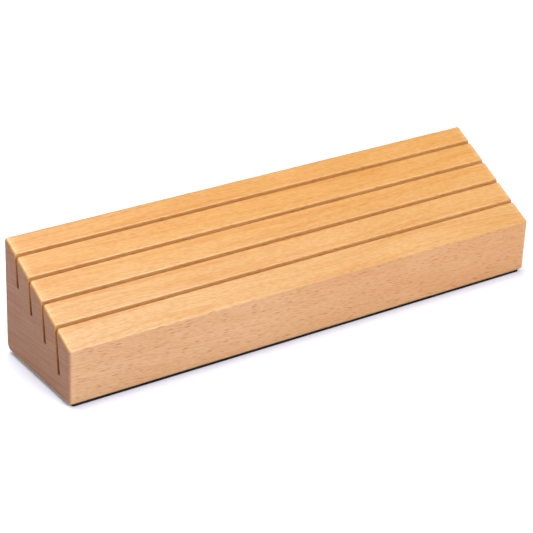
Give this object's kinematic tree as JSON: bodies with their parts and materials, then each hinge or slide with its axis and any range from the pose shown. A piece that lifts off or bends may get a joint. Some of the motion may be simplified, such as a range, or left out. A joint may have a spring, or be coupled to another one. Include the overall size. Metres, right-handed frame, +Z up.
{
  "type": "slotted pick holder",
  "caption": "Wooden block with a sloping top and long thin slots that hold plectrums upright, on a thin non-slip pad.",
  "frame": {"origin": "middle of the footprint, on the surface the holder stands on", "axes": "+X along the slots, +Y from the low front towards the tall back, +Z up"},
  "size_m": [0.22, 0.05, 0.0491],
  "materials": {
    "beech": "fine-sanded beech with a thin clear matt oil",
    "pad": "matt black closed-cell foam rubber",
    "adhesive": "thin clear double-sided film, dark where the foam shows through"
  },
  "bodies": {
    "root": {"beech_block": "beech", "base_pad": "pad", "pad_adhesive": "adhesive"}
  },
  "joints": []
}
